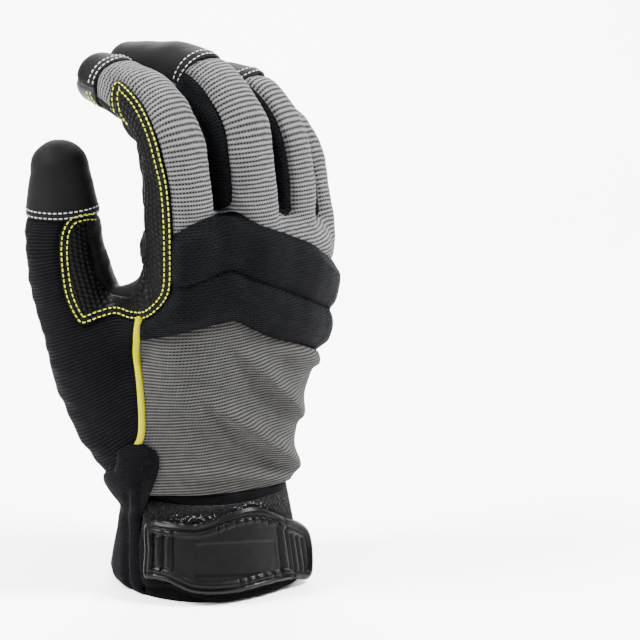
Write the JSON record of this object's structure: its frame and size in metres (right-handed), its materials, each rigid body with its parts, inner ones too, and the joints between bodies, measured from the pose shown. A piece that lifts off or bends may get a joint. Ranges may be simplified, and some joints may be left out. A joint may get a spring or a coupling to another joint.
{
  "type": "work glove",
  "caption": "Right-hand work glove with a padded knuckle guard, stitched leather palm and a moulded wrist tab, in the half-curled shape that it has on a hand.",
  "frame": {"origin": "middle of the cuff's mouth, where the hand goes in", "axes": "+Z runs from the cuff up to the fingers, -Y is the back of the hand, +Y the palm, and -X the thumb's side"},
  "size_m": [0.1035, 0.0798, 0.1901],
  "materials": {
    "grey_knit": "light grey knit in fine cross ribs, matt",
    "black_knit": "black twill knit over foam, matt",
    "ribbed_knit": "black knit in broad ribs, matt",
    "palm_leather": "black synthetic leather with a fine grain, white stitches on its edges",
    "grip_leather": "dark grey smooth synthetic leather, yellow stitches on its edges",
    "dotted_grip": "black, moulded in small close dimples, with yellow-green stitches on its edges",
    "piping": "bright yellow, satin",
    "elastic": "black woven elastic, matt",
    "loop_pile": "black brushed loops, fuzzy",
    "strap_rubber": "dark grey moulded rubber, satin"
  },
  "bodies": {
    "root": {"finger_backs": "grey_knit", "index_back": "grey_knit", "back_lower": "grey_knit", "knuckle_pad": "black_knit", "fourchette_1": "black_knit", "fourchette_2": "black_knit", "fourchette_3": "black_knit", "thumb_side_panel": "ribbed_knit", "palm_panel": "palm_leather", "palm_pad": "palm_leather", "thumb_ball_pad": "palm_leather", "finger_base_pad": "palm_leather", "index_cap": "palm_leather", "middle_cap": "palm_leather", "ring_cap": "palm_leather", "little_cap": "palm_leather", "thumb_cap": "palm_leather", "index_touch": "grip_leather", "middle_touch": "grip_leather", "thumb_touch": "grip_leather", "web_patch": "dotted_grip", "side_piping": "piping", "cuff_band": "elastic", "cuff_flap": "elastic", "slit_gusset": "elastic", "hook_strap": "elastic", "loop_patch": "loop_pile", "strap_tab": "strap_rubber"}
  },
  "joints": []
}
